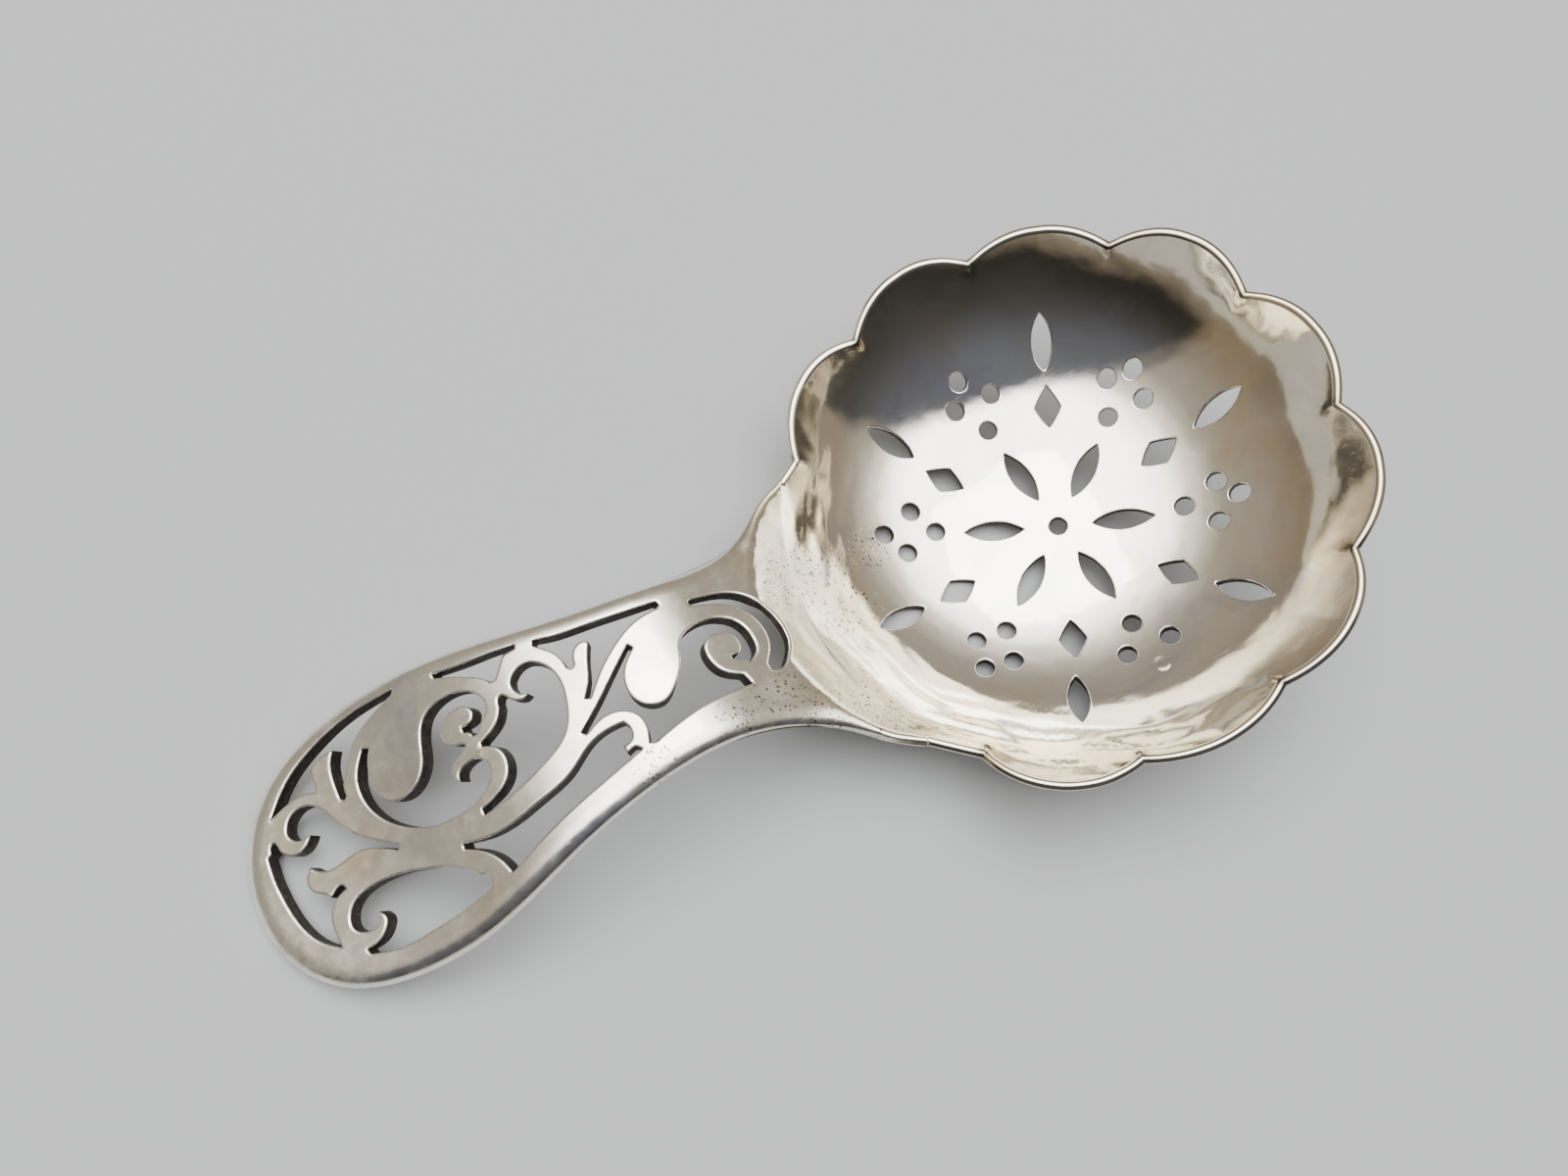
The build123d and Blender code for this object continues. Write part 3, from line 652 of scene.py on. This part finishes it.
def wall_quads(loop, normal, ids, count):
    """The wall from a loop's points on the upper face to those on the lower one."""
    along = np.roll(loop, -1, axis=0) - loop
    left = np.stack([-along[:, 1], along[:, 0]], axis=1)
    pairs = zip(ids, np.roll(ids, -1))
    if (normal * left).sum() > 0:
        return [(a, a + count, b + count, b) for a, b in pairs]
    return [(a, b, b + count, a + count) for a, b in pairs]


def plate(outline, on_joint, openings, height, thickness, rounds, extra=(), tapered=False):
    """A pierced sheet laid on a surface.

    rounds holds the edge sizes: outer edge above, openings above, outer edge below and
    openings below. Returns points, normals, faces, sawn walls and each point's distance
    from the nearest sawn wall.
    """
    loops = [outline] + openings
    normals_2d = [inward(loop, k == 0) for k, loop in enumerate(loops)]
    starts = np.concatenate(loops)
    ends = np.concatenate([np.roll(loop, -1, axis=0) for loop in loops])
    is_outer = np.arange(len(starts)) < len(outline)
    rounded = is_outer.copy()
    rounded[: len(outline)] = ~(on_joint & np.roll(on_joint, -1))
    rows = rows_beside(loops, normals_2d, rounds, starts, ends)
    verts, tris, rim_ids = triangulate(loops, fill_in(loops, rows, extra, starts, ends))

    d_out, g_out = nearest_on(verts, starts[rounded], ends[rounded])
    d_in, g_in = nearest_on(verts, starts[~is_outer], ends[~is_outer])
    g_out[rim_ids[0]] = normals_2d[0]
    d_out[rim_ids[0]] = np.where(on_joint, d_out[rim_ids[0]], 0.0)
    for ids, normal in zip(rim_ids[1:], normals_2d[1:]):
        g_in[ids] = normal
        d_in[ids] = 0.0

    x, y = verts[:, 0], verts[:, 1]
    gx, gy = slopes(height, x, y)
    up = upward(gx, gy)
    base = np.stack([x, y, height(x, y)], axis=1)
    above, below = (thinned(r, x) if tapered else r for r in (rounds[0], rounds[2]))
    around = (d_out, g_out), (d_in, g_in), np.stack([gx, gy], axis=1), up
    drop, top_normal = face(1.0, above, rounds[1], *around)
    rise, low_normal = face(-1.0, below, rounds[3], *around)
    top = base - up * drop[:, None]
    low = base - up * (thickness(up) - rise)[:, None]

    used = np.unique(tris)
    count = len(used)
    remap = np.full(len(verts), -1)
    remap[used] = np.arange(count)
    faces = [tuple(t) for t in remap[tris]]
    faces += [tuple(t[::-1] + count) for t in remap[tris]]
    walls = [
        wall_quads(loop, normal, remap[ids], count)
        for loop, normal, ids in zip(loops, normals_2d, rim_ids)
    ]
    return {
        "points": np.concatenate([top[used], low[used]]),
        "normals": np.concatenate([top_normal[used], low_normal[used]]),
        "faces": faces + walls[0],
        "walls": [quad for wall in walls[1:] for quad in wall],
        "saw": np.tile(np.minimum(d_in, FAR)[used], 2),
    }


def sheet_drop(up):
    """The dish's thickness along its normals."""
    return np.full(len(up), SHEET)


def plate_drop(up):
    """The handle's thickness along its normals: measured upright it is the same everywhere."""
    return PLATE * up[:, 2]


def no_drop(up):
    return np.zeros(len(up))


def underside(height, loop, drop):
    """Points of a sheet's lower face along a loop."""
    x, y = loop[:, 0], loop[:, 1]
    up = upward(*slopes(height, x, y))
    return np.stack([x, y, height(x, y)], axis=1) - up * drop(up)[:, None]


def place_in_row(rim, border):
    """The shift that puts the plain shape's box where the CAD's is."""
    # the dish stands on a point of its underside on this line
    reach = np.linspace(-26.0, 0.0, 600)
    floor_line = np.stack([reach, np.zeros(len(reach))], axis=1)
    parts = [
        underside(plain_wall, rim, no_drop), underside(plain_wall, rim, sheet_drop),
        underside(plain_handle, border, no_drop), underside(plain_handle, border, plate_drop),
        underside(plain_wall, floor_line, sheet_drop),
    ]
    everything = np.concatenate([to_row(p, np.zeros(3)) for p in parts]) * 1000
    low, high = everything.min(axis=0), everything.max(axis=0)
    cad_low, cad_high = (np.array(corner) * 1000 for corner in cad_box)
    middle = (cad_low + cad_high - low - high) / 2
    return np.array([middle[0], middle[1], cad_low[2] - low[2] - WORN])


def patches(points, spots):
    """How strongly each point belongs to any of the soft round spots (x, y, radius)."""
    most = np.zeros(len(points))
    for x, y, radius in spots:
        away = np.hypot(points[:, 0] - x, points[:, 1] - y)
        most = np.maximum(most, np.exp(-((away / radius) ** 2)))
    return most


def cream_and_painted_shade(points):
    """Where the dish's wall, as far as its crest, is tinted cream: partly tarnish never polished
    bright, partly painted shade that dims the wall's reflection.
    """
    r = np.hypot(points[:, 0], points[:, 1])
    before_crest = np.clip((points[:, 0] - CREST_X + 2.0) / 2.5, 0.0, 1.0)
    return before_crest * np.clip((r - 23.0) / 4.0, 0.0, 1.0)


def tan_and_painted_shade(points):
    """Where the tarnish is heaviest, with painted shade for the darker reflection there: the wall
    opposite the handle.
    """
    r = np.hypot(points[:, 0], points[:, 1])
    across = np.clip(points[:, 0] / np.maximum(r, 1.0) + 0.1, 0.0, 1.0)
    return across * np.clip((r - 22.0) / 4.5, 0.0, 1.0)


def make_object(name, data, shift, materials):
    """A Blender object from a plate, with what its materials need to know at each point."""
    mesh = bpy.data.meshes.new(name)
    where = to_row(data["points"], shift)
    faces = data["faces"] + data["walls"]
    mesh.from_pydata(where.tolist(), [], [tuple(int(i) for i in f) for f in faces])
    for m in materials:
        mesh.materials.append(m)
    mesh.polygons.foreach_set(
        "material_index", [0] * len(data["faces"]) + [1] * len(data["walls"]))
    mesh.polygons.foreach_set("use_smooth", [True] * len(faces))
    flat = data["points"][:, :2]
    # soft patches at the rim's notches, darkened in the silver as painted shade
    notches = [(*on_circle(NOTCH_R - 0.2, notch_angle(i)), 0.75) for i in range(LOBES + 1)]
    layers = {
        "saw_distance": data["saw"],
        "pitted": patches(flat, PITTED), "stained": patches(flat, STAINED),
        "painted_notch_shade": patches(flat, notches), "cream_and_painted_shade": cream_and_painted_shade(flat),
        "tan_and_painted_shade": tan_and_painted_shade(flat),
    }
    for key, values in layers.items():
        layer = mesh.attributes.new(key, "FLOAT", "POINT")
        layer.data.foreach_set("value", values.astype(np.float32))
    local = mesh.attributes.new("dish_place", "FLOAT_VECTOR", "POINT")
    local.data.foreach_set("vector", data["points"].astype(np.float32).ravel())
    mesh.validate()
    mesh.update()
    c, s = cos(radians(REST_TILT)), sin(radians(REST_TILT))
    n = data["normals"]
    turned = np.stack([n[:, 0] * c - n[:, 2] * s, n[:, 1], n[:, 0] * s + n[:, 2] * c], axis=1)
    mesh.normals_split_custom_set_from_vertices(turned.tolist())
    piece = bpy.data.objects.new(name, mesh)
    bpy.context.scene.collection.objects.link(piece)
    return piece


# ---- materials -----------------------------------------------------------------------------
class Graph:
    """Short hand for building a material's nodes."""

    def __init__(self, name):
        self.material = bpy.data.materials.new(name)
        self.material.use_nodes = True
        self.tree = self.material.node_tree
        self.shader = self.tree.nodes["Principled BSDF"]

    def node(self, kind, **inputs):
        made = self.tree.nodes.new(kind)
        for key, value in inputs.items():
            if key in ("operation", "attribute_name"):
                setattr(made, key, value)
                continue
            numbered = key[0] == "i" and key[1:].isdigit()
            socket = made.inputs[int(key[1:]) if numbered else key]
            if isinstance(value, bpy.types.NodeSocket):
                self.tree.links.new(value, socket)
            else:
                socket.default_value = value
        return made

    def attribute(self, name, output="Fac"):
        return self.node("ShaderNodeAttribute", attribute_name=name).outputs[output]

    def noise(self, where, scale, detail=3.0, rough=0.55, distort=0.0):
        made = self.node("ShaderNodeTexNoise", Vector=where, Scale=scale, Detail=detail,
                         Roughness=rough, Distortion=distort)
        return made.outputs["Fac"]

    def math(self, operation, a, b=0.0, clamp=False):
        made = self.node("ShaderNodeMath", operation=operation, i0=a, i1=b)
        made.use_clamp = clamp
        return made.outputs[0]

    def ramp(self, value, stops):
        made = self.node("ShaderNodeValToRGB", Fac=value)
        ramp = made.color_ramp
        while len(ramp.elements) < len(stops):
            ramp.elements.new(0.5)
        for element, (place, shade) in zip(ramp.elements, stops):
            element.position = place
            element.color = (*shade, 1.0) if isinstance(shade, tuple) else (shade,) * 3 + (1.0,)
        return made.outputs["Color"]

    def span(self, value, low, high, to_low=0.0, to_high=1.0):
        made = self.node("ShaderNodeMapRange", i0=value, i1=low, i2=high, i3=to_low, i4=to_high)
        return made.outputs[0]

    def mix(self, factor, a, b, blend="MIX"):
        made = self.tree.nodes.new("ShaderNodeMix")
        made.data_type = "RGBA"
        made.blend_type = blend
        for socket, value in ((made.inputs[0], factor), (made.inputs[6], a), (made.inputs[7], b)):
            if isinstance(value, bpy.types.NodeSocket):
                self.tree.links.new(value, socket)
            else:
                socket.default_value = value if socket is made.inputs[0] else (*value, 1.0)
        return made.outputs[2]

    def stretch(self, where, size, turn=0.0):
        made = self.node("ShaderNodeMapping", Vector=where)
        made.inputs["Scale"].default_value = size
        made.inputs["Rotation"].default_value = (0.0, 0.0, turn)
        return made.outputs[0]

    def bump(self, height, distance, strength=1.0, under=None):
        """Relief of this depth in metres, laid over the relief under it."""
        made = self.node("ShaderNodeBump", Height=height, Distance=distance, Strength=strength)
        if under is not None:
            self.tree.links.new(under, made.inputs["Normal"])
        return made.outputs[0]

    def link(self, value, socket):
        self.tree.links.new(value, self.shader.inputs[socket])


# colours, from clean metal to the black left by the saw; some of them also carry painted shade
SILVER = (0.935, 0.91, 0.865)
SHADE = (0.85, 0.815, 0.72)
# cream: tarnish, and partly painted shade on the dish's wall
CREAM_TARNISH_AND_SHADE = (0.72, 0.665, 0.53)
# tan: tarnish, and partly painted shade on the wall opposite the handle
TAN_TARNISH_AND_SHADE = (0.56, 0.50, 0.395)
STRAW = (0.80, 0.67, 0.44)
VIOLET = (0.62, 0.60, 0.70)
BROWN = (0.23, 0.155, 0.09)
# oxide black, darkened further as painted shade inside the openings
OXIDE_AND_SHADE = (0.028, 0.023, 0.020)
# soot black: real grime by the saw and in pits, and painted shade at the notches and in the
# openings
SOOT_AND_SHADE = (0.10, 0.078, 0.055)
HANDLE_SILVER = (0.95, 0.935, 0.87)
# depth of the relief, in metres
PLANISH_DEPTH = 0.00006
SKIN_DEPTH = 0.00004
HAZE_DEPTH = 0.000004
PIT_DEPTH = 0.00005
# families of hairline scratches: direction in radians and relative fineness
SCRATCHES = ((0.35, 0.9), (1.25, 1.2), (2.3, 1.05), (2.9, 0.8))


def silver(name, tint, rough, brushed, scored):
    """Old polished silver: tinted tarnish, painted shade on the wall and in the notches,
    hairlines, pits, and oxide by the sawn edges.

    brushed is how much a scratch adds to the roughness, scored how deep it is against a pit.
    """
    g = Graph(name)
    place = g.attribute("dish_place", "Vector")
    cloud = g.noise(place, 0.10, 4.0, 0.6, 0.4)
    haze = g.noise(place, 0.9, 5.0, 0.65)
    colour = g.mix(g.span(cloud, 0.40, 0.70), tint, SHADE)
    # cream tint on the wall: partly tarnish, partly painted shade dimming its reflection
    colour = g.mix(g.math("MULTIPLY", g.attribute("cream_and_painted_shade"), 0.85), colour, CREAM_TARNISH_AND_SHADE)
    # tan on the wall opposite the handle: partly tarnish, partly painted shade for its darker
    # reflection
    patchy = g.span(g.noise(place, 0.16, 4.0, 0.6, 0.6), 0.25, 0.60, 0.35, 1.0)
    colour = g.mix(g.math("MULTIPLY", g.attribute("tan_and_painted_shade"), patchy), colour, TAN_TARNISH_AND_SHADE)
    straw = g.span(g.noise(place, 0.07, 3.0, 0.6, 0.8), 0.56, 0.72, 0.0, 0.55)
    colour = g.mix(straw, colour, STRAW)
    violet = g.span(g.noise(g.stretch(place, (1.0, 1.0, 1.0), 1.1), 0.085, 3.0, 0.6, 0.5),
                    0.57, 0.72, 0.0, 0.5)
    colour = g.mix(violet, colour, VIOLET)
    stained = g.attribute("stained")
    blotch = g.span(g.noise(place, 0.55, 5.0, 0.7, 0.6), 0.40, 0.68)
    stain = g.math("MULTIPLY", g.math("MULTIPLY", stained, blotch), 0.5, clamp=True)
    colour = g.mix(stain, colour, BROWN)
    near_saw = g.span(g.attribute("saw_distance"), 0.30, 0.03)
    grime = g.math("MULTIPLY", near_saw, g.span(haze, 0.42, 0.66), clamp=True)
    colour = g.mix(g.math("MULTIPLY", grime, 0.8), colour, SOOT_AND_SHADE)
    # painted shade: the notches darkened towards soot black
    painted_notch_shade = g.math("MULTIPLY", g.attribute("painted_notch_shade"), g.span(haze, 0.30, 0.55), clamp=True)
    colour = g.mix(painted_notch_shade, colour, SOOT_AND_SHADE)

    pit_cells = g.node("ShaderNodeTexVoronoi", Vector=place, Scale=2.3)
    pit_size = g.noise(place, 1.7, 2.0, 0.5)
    pit_radius = g.span(pit_size, 0.36, 0.66, 0.0, 0.42)
    pit = g.math("LESS_THAN", pit_cells.outputs["Distance"], pit_radius)
    pitted = g.attribute("pitted")
    pit = g.math("MULTIPLY", pit, g.span(pitted, 0.08, 0.3))
    colour = g.mix(g.math("MULTIPLY", pit, 0.85), colour, SOOT_AND_SHADE)
    g.link(colour, "Base Color")
    g.shader.inputs["Metallic"].default_value = 1.0

    scratches = None
    for turn, size in SCRATCHES:
        lines = g.noise(g.stretch(place, (0.10 * size, 7.5 * size, 1.0), turn), 1.0, 2.0, 0.5)
        thin = g.span(lines, 0.70, 0.74)
        scratches = thin if scratches is None else g.math("MAXIMUM", scratches, thin)
    roughness = g.span(haze, 0.3, 0.75, rough * 0.7, rough * 1.35)
    roughness = g.math("ADD", roughness, g.math("MULTIPLY", scratches, brushed))
    roughness = g.math("ADD", roughness, g.math("MULTIPLY", grime, 0.3))
    roughness = g.math("ADD", roughness, g.math("MULTIPLY", stained, 0.10), clamp=True)
    g.link(roughness, "Roughness")

    planish = g.noise(place, 0.22, 1.0, 0.4, 0.3)
    normal = g.bump(planish, PLANISH_DEPTH)
    normal = g.bump(haze, HAZE_DEPTH, under=normal)
    rough_skin = g.math("MULTIPLY", g.noise(place, 2.6, 4.0, 0.7), pitted)
    normal = g.bump(rough_skin, SKIN_DEPTH, under=normal)
    depth = g.math("ADD", g.math("MULTIPLY", scratches, -scored), g.math("MULTIPLY", pit, -1.0))
    normal = g.bump(depth, PIT_DEPTH, 0.7, normal)
    g.link(normal, "Normal")
    return g.material


def oxide(name):
    """Sawn and drilled walls: never polished, brown-black oxide darkened to near black as painted
    shade inside the openings, with a dull metal gleam.
    """
    g = Graph(name)
    place = g.attribute("dish_place", "Vector")
    grain = g.noise(g.stretch(place, (1.0, 1.0, 0.35)), 4.2, 4.0, 0.6)
    blotch = g.noise(place, 0.8, 3.0, 0.6)
    # oxide, darkened to near black as painted shade inside the openings
    colour = g.mix(g.span(blotch, 0.40, 0.8), OXIDE_AND_SHADE, SOOT_AND_SHADE)
    colour = g.mix(g.span(grain, 0.62, 0.80, 0.0, 0.35), colour, SHADE)
    g.link(colour, "Base Color")
    g.shader.inputs["Metallic"].default_value = 0.75
    g.link(g.span(grain, 0.3, 0.7, 0.42, 0.68), "Roughness")
    g.link(g.bump(grain, 0.00025, 0.6), "Normal")
    return g.material


def solder(name):
    """The fillet of solder: duller, greyer and pitted."""
    g = Graph(name)
    place = g.node("ShaderNodeTexCoord").outputs["Object"]
    grain = g.noise(place, 900.0, 4.0, 0.6)
    colour = g.mix(g.span(g.noise(place, 260.0, 3.0), 0.35, 0.7), SHADE, BROWN)
    g.link(colour, "Base Color")
    g.shader.inputs["Metallic"].default_value = 1.0
    g.link(g.span(grain, 0.3, 0.7, 0.3, 0.5), "Roughness")
    g.link(g.bump(grain, 0.00012, 0.5), "Normal")
    return g.material


bowl_silver = silver("bowl_silver", SILVER, 0.075, 0.05, 0.015)
handle_silver = silver("handle_silver", HANDLE_SILVER, 0.21, 0.06, 0.03)
sawn = oxide("sawn_edge")

# ---- pieces --------------------------------------------------------------------------------
rim, rim_joint = rim_outline()
holes = [round_hole((0.0, 0.0), ROUND_HOLE_R)]
holes += [round_hole(centre, ROUND_HOLE_R) for centre in DRILLED]
for k in range(PETALS):
    line = ROSETTE_TURN + 360 * k / PETALS
    holes.append(pointed_slot(*INNER_SLOT, line + 180 / PETALS))
    holes.append(pointed_slot(*OUTER_SLOT, line))
holes += [diamond(*place) for place in DIAMONDS]

# extra points where the surface turns sharply: the creases and the blind hole
crease_points = [
    on_circle(r, notch_angle(i)) for i in range(LOBES + 1) for r in np.arange(22.0, 29.6, 0.4)
]
dimple_points = [
    np.array(BLIND) + on_circle(r, a)
    for r in (0.3, 0.62, 0.85, ROUND_HOLE_R, 1.3) for a in np.arange(0, 360, 15.0)
]
dish = plate(
    rim, rim_joint, holes, dish_height, sheet_drop,
    (RIM_ROUND, HOLE_ROUND, RIM_ROUND, HOLE_ROUND), crease_points + dimple_points,
)
border, border_joint = handle_outline()
openings = [closed([smooth(s) for s in stretches]) for stretches in OPENINGS.values()]
grip = plate(
    border, border_joint, openings, handle_height, plate_drop,
    (BORDER_ROUND, SAW_ROUND, UNDER_ROUND, UNDER_SAW_ROUND), tapered=True,
)

shift = place_in_row(rim, border)

bowl_piece = make_object("pierced_dish", dish, shift, [bowl_silver, sawn])
handle_piece = make_object("openwork_handle", grip, shift, [handle_silver, sawn])
for piece, node, slot in (
    (bowl_piece, "bowl", "bowl_silver"), (handle_piece, "handle", "handle_silver"),
):
    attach(piece, "root")
    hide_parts(node)
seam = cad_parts["solder_seam"]
seam.data.materials.clear()
seam.data.materials.append(solder("seam_solder"))

# ---- stage ---------------------------------------------------------------------------------
FLOOR_REACH = 6.0
FLOOR_GREY = (0.38, 0.39, 0.405, 1.0)
BACKDROP = (0.80, 0.81, 0.83, 1.0)    # what is seen past the end of the floor
SKY_STRENGTH = 6.2
# the room by height, straight up being 1: cream walls, then a big soft light overhead
OVERHEAD = [
    (0.00, (0.055, 0.048, 0.039)), (0.45, (0.064, 0.056, 0.046)), (0.60, (0.078, 0.069, 0.057)),
    (0.69, (0.125, 0.113, 0.096)), (0.77, (0.26, 0.245, 0.22)), (0.85, (0.72, 0.71, 0.69)),
    (0.92, (1.0, 1.0, 0.99)),
]
UNLIT = [(0.15, (0.0075, 0.0072, 0.0072)), (0.78, (0.026, 0.027, 0.031))]
UNLIT_TURN = radians(14.0)            # the unlit side is turned this far from -Y towards -X
UNLIT_EDGE = (-0.32, -0.46)           # where it begins, and where it is fully dark
HORIZON_FADE = (0.0, 0.14)            # it is lit again near the floor
WINDOW_AT = (0.05, 0.16, 0.62)
WINDOW_SIZE = 0.30
WINDOW_POWER = 1.0
WINDOW_COLOUR = (1.0, 0.98, 0.95)
DISH_MIDDLE_Z = 0.012


def make_floor():
    reach = FLOOR_REACH
    mesh = bpy.data.meshes.new("floor")
    mesh.from_pydata(
        [(-reach, -reach, 0), (reach, -reach, 0), (reach, reach, 0), (-reach, reach, 0)], [],
        [(0, 1, 2, 3)])
    paper = Graph("pale_floor")
    paper.shader.inputs["Base Color"].default_value = FLOOR_GREY
    paper.shader.inputs["Roughness"].default_value = 0.9
    mesh.materials.append(paper.material)
    floor = bpy.data.objects.new("floor", mesh)
    bpy.context.scene.collection.objects.link(floor)


class Sky:
    """The room around the object: soft light that depends on direction only."""

    def __init__(self):
        self.world = bpy.data.worlds.new("studio")
        self.world.use_nodes = True
        self.tree = self.world.node_tree

    def node(self, kind, **settings):
        made = self.tree.nodes.new(kind)
        for key, value in settings.items():
            setattr(made, key, value)
        return made

    def link(self, output, socket):
        self.tree.links.new(output, socket)

    def ramp(self, value, stops):
        made = self.node("ShaderNodeValToRGB")
        self.link(value, made.inputs["Fac"])
        while len(made.color_ramp.elements) < len(stops):
            made.color_ramp.elements.new(0.5)
        for element, (place, shade) in zip(made.color_ramp.elements, stops):
            element.position = place
            element.color = (*shade, 1.0)
        return made.outputs["Color"]

    def step(self, value, edge):
        made = self.node("ShaderNodeMapRange", interpolation_type="SMOOTHSTEP")
        self.link(value, made.inputs["Value"])
        made.inputs["From Min"].default_value, made.inputs["From Max"].default_value = edge
        return made.outputs[0]


def make_sky():
    sky = Sky()
    direction = sky.node("ShaderNodeTexCoord").outputs["Generated"]
    heading = sky.node("ShaderNodeSeparateXYZ")
    sky.link(direction, heading.inputs[0])
    height = heading.outputs["Z"]
    sideways = sky.node("ShaderNodeVectorMath", operation="DOT_PRODUCT")
    sky.link(direction, sideways.inputs[0])
    sideways.inputs[1].default_value = (sin(UNLIT_TURN), cos(UNLIT_TURN), 0.0)
    darkened = sky.node("ShaderNodeMath", operation="MULTIPLY")
    sky.link(sky.step(sideways.outputs["Value"], UNLIT_EDGE), darkened.inputs[0])
    sky.link(sky.step(height, HORIZON_FADE), darkened.inputs[1])
    room = sky.node("ShaderNodeMix", data_type="RGBA")
    sky.link(darkened.outputs[0], room.inputs[0])
    sky.link(sky.ramp(height, OVERHEAD), room.inputs[6])
    sky.link(sky.ramp(height, UNLIT), room.inputs[7])
    light = sky.tree.nodes["Background"]
    sky.link(room.outputs[2], light.inputs["Color"])
    light.inputs["Strength"].default_value = SKY_STRENGTH
    # the room only lights the object; past the floor there is a plain pale backdrop
    plain = sky.node("ShaderNodeBackground")
    plain.inputs["Color"].default_value = BACKDROP
    seen = sky.node("ShaderNodeMixShader")
    sky.link(sky.node("ShaderNodeLightPath").outputs["Is Camera Ray"], seen.inputs[0])
    sky.link(light.outputs[0], seen.inputs[1])
    sky.link(plain.outputs[0], seen.inputs[2])
    sky.link(seen.outputs[0], sky.tree.nodes["World Output"].inputs["Surface"])
    bpy.context.scene.world = sky.world


def make_window(towards):
    light = bpy.data.lights.new("window", "AREA")
    light.shape = "RECTANGLE"
    light.size = light.size_y = WINDOW_SIZE
    light.energy = WINDOW_POWER
    light.color = WINDOW_COLOUR
    lamp = bpy.data.objects.new("window", light)
    lamp.location = WINDOW_AT
    lamp.rotation_euler = (towards - Vector(WINDOW_AT)).to_track_quat("-Z", "Y").to_euler()
    bpy.context.scene.collection.objects.link(lamp)


make_floor()
make_sky()
make_window(Vector((shift[0] * 0.001, 0.0, DISH_MIDDLE_Z)))

# ---- camera --------------------------------------------------------------------------------
CAMERA_AT = (-0.06650, -0.03571, 0.12378)   # from the middle of the dish's floor
FORWARD = (0.24493, 0.31756, -0.91606)
UP = (0.40057, 0.82728, 0.39388)
LENS = 27.03
camera_data = bpy.data.cameras.new("camera")
camera_data.lens = LENS
camera_data.clip_start = 0.005
camera = bpy.data.objects.new("camera", camera_data)
forward, up = Vector(FORWARD).normalized(), Vector(UP).normalized()
right = forward.cross(up).normalized()
turn = Matrix((right, right.cross(forward), -forward)).transposed()
floor_middle = Vector(to_row(np.zeros((1, 3)), shift)[0])
camera.matrix_world = Matrix.Translation(floor_middle + Vector(CAMERA_AT)) @ turn.to_4x4()
bpy.context.scene.collection.objects.link(camera)
bpy.context.scene.camera = camera

bpy.context.view_layer.update()
